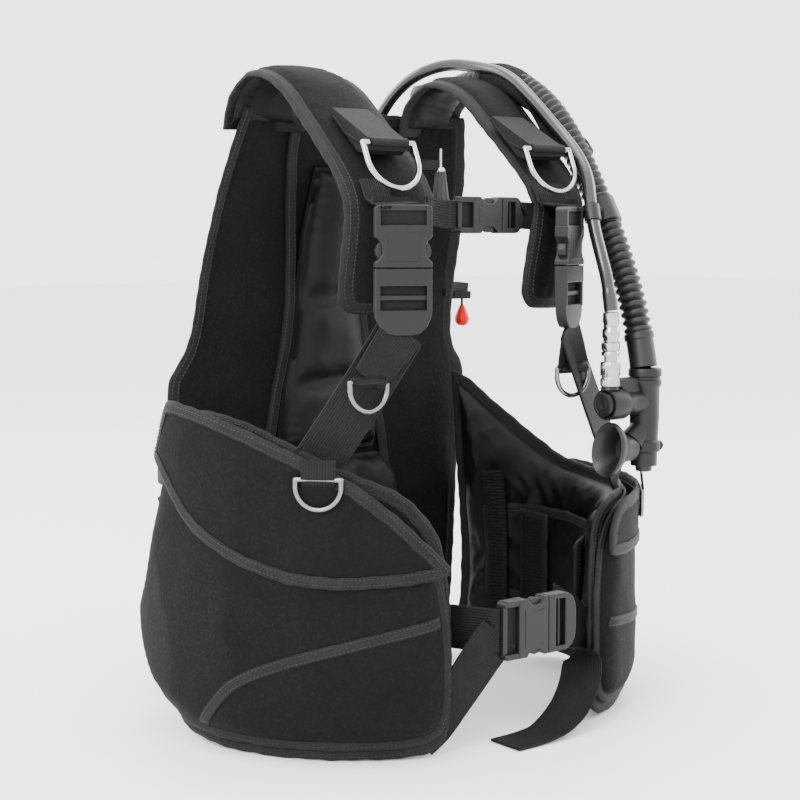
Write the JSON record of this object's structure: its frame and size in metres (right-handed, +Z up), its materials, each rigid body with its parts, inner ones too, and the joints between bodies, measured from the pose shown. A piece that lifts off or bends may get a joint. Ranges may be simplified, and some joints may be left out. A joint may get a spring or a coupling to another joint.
{
  "type": "buoyancy compensator vest",
  "caption": "Jacket-style buoyancy vest with two air lobes, flapped pockets, padded shoulder straps, side-release buckles, a tank band and an inflator on a corrugated hose.",
  "frame": {"origin": "bottom centre of the vest with its tank band, on the floor it stands on", "axes": "+Z up the wearer's back, -Y to the wearer's front, +X to the wearer's left"},
  "size_m": [0.5148, 0.5904, 0.642],
  "materials": {
    "outer_fabric": "coarse woven nylon with bias-tape binding",
    "lining_fabric": "smooth coated nylon over foam",
    "webbing": "ribbed polyester webbing",
    "elastic": "ribbed elastic over foam",
    "ring_steel": "polished stainless wire",
    "bright_metal": "plated brass and stainless",
    "rubber": "moulded rubber",
    "hose_rubber": "smooth satin rubber",
    "red_plastic": "gloss moulded",
    "hard_plastic": "moulded acetal with fine grain"
  },
  "bodies": {
    "vest": {"back_pad": "lining_fabric", "back_panel": "outer_fabric", "backpack_plate": "hard_plastic", "backpack_screws": "bright_metal", "cam_buckle_frame": "hard_plastic", "cam_buckle_pin": "bright_metal", "carry_handle": "webbing", "cummerbund_wings": "elastic", "dump_valves": "hard_plastic", "hose_elbow": "hard_plastic", "hose_sleeve": "outer_fabric", "left_lobe": "outer_fabric", "left_pocket": "outer_fabric", "left_shoulder_socket": "hard_plastic", "left_shoulder_strap": "outer_fabric", "left_sternum_webbing": "webbing", "lp_hose_fitting": "bright_metal", "lumbar_pad": "lining_fabric", "right_lobe": "outer_fabric", "right_pocket": "outer_fabric", "right_shoulder_socket": "hard_plastic", "right_shoulder_strap": "outer_fabric", "right_waist_webbing": "webbing", "sternum_plug": "hard_plastic", "sternum_prongs": "hard_plastic", "tank_band": "webbing", "waist_socket": "hard_plastic", "webbing_tabs": "webbing"},
    "right_pocket_flap": {"right_pocket_flap": "outer_fabric"},
    "right_pocket_ring": {"right_pocket_ring": "ring_steel"},
    "right_shoulder_ring": {"right_shoulder_ring": "ring_steel"},
    "right_shoulder_release": {"right_shoulder_plug": "hard_plastic", "right_shoulder_prongs": "hard_plastic", "right_lower_webbing": "webbing", "right_chest_tail": "webbing"},
    "right_chest_ring": {"right_chest_ring": "ring_steel"},
    "left_pocket_flap": {"left_pocket_flap": "outer_fabric"},
    "left_pocket_ring": {"left_pocket_ring": "ring_steel"},
    "left_shoulder_ring": {"left_shoulder_ring": "ring_steel"},
    "left_shoulder_release": {"left_shoulder_plug": "hard_plastic", "left_shoulder_prongs": "hard_plastic", "left_lower_webbing": "webbing", "left_chest_tail": "webbing"},
    "left_chest_ring": {"left_chest_ring": "ring_steel"},
    "waist_release": {"waist_plug": "hard_plastic", "waist_prongs": "hard_plastic", "left_waist_webbing": "webbing"},
    "sternum_release": {"sternum_socket": "hard_plastic", "right_sternum_webbing": "webbing"},
    "inflator": {"corrugated_hose": "rubber", "lp_hose": "hose_rubber", "lp_quick_connect": "bright_metal", "inflator_body": "hard_plastic", "mouthpiece": "rubber"},
    "inflate_button": {"inflate_button": "hard_plastic"},
    "deflate_button": {"deflate_button": "hard_plastic"},
    "qd_sleeve": {"qd_sleeve": "bright_metal"},
    "cam_lever": {"cam_lever": "hard_plastic"},
    "dump_toggle": {"dump_toggle": "hard_plastic"},
    "red_knob": {"red_knob": "red_plastic"}
  },
  "joints": [
    {"name": "right_flap_lift", "type": "hinge", "parent": "vest", "child": "right_pocket_flap", "pos_m": [-0.2257, -0.1802, 0.283], "axis": [-0.4815, 0.8339, 0.2696], "range_deg": [0, 90], "deforming": ["right_pocket_flap"]},
    {"name": "right_pocket_ring_swing", "type": "hinge", "parent": "right_pocket_flap", "child": "right_pocket_ring", "pos_m": [-0.19588, -0.22739, 0.251], "axis": [-0.6947, 0.7193, 0], "range_deg": [0, 120]},
    {"name": "right_shoulder_ring_swing", "type": "hinge", "parent": "vest", "child": "right_shoulder_ring", "pos_m": [-0.108, -0.2112, 0.538], "axis": [-1, 0, 0], "range_deg": [0, 130]},
    {"name": "right_shoulder_release", "type": "slide", "parent": "vest", "child": "right_shoulder_release", "axis": [0, 0, -1], "range_m": [0, 0.034], "deforming": ["right_shoulder_prongs", "right_lower_webbing"]},
    {"name": "right_chest_ring_swing", "type": "hinge", "parent": "right_shoulder_release", "child": "right_chest_ring", "pos_m": [-0.15, -0.2382, 0.333], "axis": [-1, 0, 0], "range_deg": [0, 100]},
    {"name": "left_flap_lift", "type": "hinge", "parent": "vest", "child": "left_pocket_flap", "pos_m": [0.2257, -0.1802, 0.212], "axis": [-0.5, -0.866, 0], "range_deg": [0, 90], "deforming": ["left_pocket_flap"]},
    {"name": "left_pocket_ring_swing", "type": "hinge", "parent": "left_pocket_flap", "child": "left_pocket_ring", "pos_m": [0.19588, -0.22739, 0.207], "axis": [-0.6947, -0.7193, 0], "range_deg": [0, 120]},
    {"name": "left_shoulder_ring_swing", "type": "hinge", "parent": "vest", "child": "left_shoulder_ring", "pos_m": [0.08, -0.2112, 0.538], "axis": [-1, 0, 0], "range_deg": [0, 130]},
    {"name": "left_shoulder_release", "type": "slide", "parent": "vest", "child": "left_shoulder_release", "axis": [0, 0, -1], "range_m": [0, 0.034], "deforming": ["left_shoulder_prongs", "left_lower_webbing"]},
    {"name": "left_chest_ring_swing", "type": "hinge", "parent": "left_shoulder_release", "child": "left_chest_ring", "pos_m": [0.09, -0.2382, 0.333], "axis": [-1, 0, 0], "range_deg": [0, 40]},
    {"name": "waist_release", "type": "slide", "parent": "vest", "child": "waist_release", "axis": [1, 0, 0], "range_m": [0, 0.034], "deforming": ["waist_prongs", "left_waist_webbing"]},
    {"name": "sternum_release", "type": "slide", "parent": "vest", "child": "sternum_release", "axis": [-1, 0, 0], "range_m": [0, 0.0215], "deforming": ["sternum_prongs", "right_sternum_webbing"]},
    {"name": "inflator_swing", "type": "hinge", "parent": "vest", "child": "inflator", "pos_m": [0.15, -0.1752, 0.545], "axis": [-1, 0, 0], "range_deg": [0, 60], "deforming": ["corrugated_hose", "lp_hose"]},
    {"name": "inflate_press", "type": "slide", "parent": "inflator", "child": "inflate_button", "axis": [1, 0, 0], "range_m": [0, 0.004], "stiffness_N_per_m": 800, "springref_m": -0.003},
    {"name": "deflate_press", "type": "slide", "parent": "inflator", "child": "deflate_button", "axis": [0, 0, 1], "range_m": [0, 0.005], "stiffness_N_per_m": 600, "springref_m": -0.003},
    {"name": "qd_sleeve_pull", "type": "slide", "parent": "inflator", "child": "qd_sleeve", "axis": [0, 0, 1], "range_m": [0, 0.004], "stiffness_N_per_m": 800, "springref_m": -0.003},
    {"name": "cam_lever_swing", "type": "hinge", "parent": "vest", "child": "cam_lever", "pos_m": [0.1059, 0.1787, 0.21], "axis": [0, 0, -1], "range_deg": [0, 130]},
    {"name": "shoulder_dump_pull", "type": "slide", "parent": "vest", "child": "dump_toggle", "axis": [0, 0, -1], "range_m": [0, 0.015], "stiffness_N_per_m": 300, "springref_m": -0.003},
    {"name": "rear_dump_pull", "type": "slide", "parent": "vest", "child": "red_knob", "axis": [0, 0, -1], "range_m": [0, 0.015], "stiffness_N_per_m": 300, "springref_m": -0.003}
  ]
}
